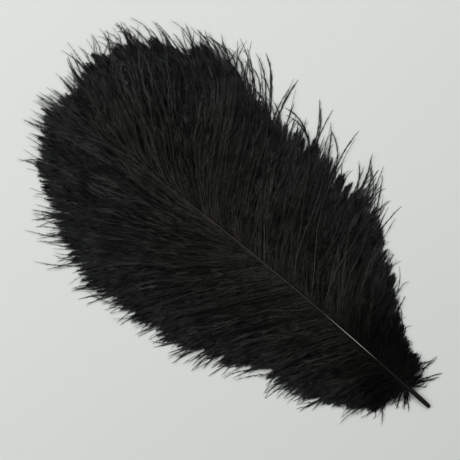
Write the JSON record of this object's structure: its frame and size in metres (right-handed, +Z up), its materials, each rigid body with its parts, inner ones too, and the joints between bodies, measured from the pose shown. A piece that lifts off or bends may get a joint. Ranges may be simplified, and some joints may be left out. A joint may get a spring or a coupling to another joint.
{
  "type": "ostrich feather",
  "caption": "Dyed ostrich plume with an arched shaft, a bare quill and two broad drooping vanes of long loose barbs, lying flat.",
  "frame": {"origin": "middle of the plume's footprint, on the surface that it lies on", "axes": "+X from the quill's blunt end to the plume's tip, +Y towards the left vane, +Z up out of the upper side"},
  "size_m": [0.399, 0.2228, 0.0204],
  "materials": {
    "shaft": "black dyed keratin, smooth and satin, a little greyer where the dye is thin along the back of the shaft",
    "barbs": "black dyed down of fine loose fibres, soft and matt with a faint silky sheen along the barbs"
  },
  "bodies": {
    "root": {"shaft": "shaft", "left_vane": "barbs", "right_vane": "barbs"}
  },
  "joints": []
}
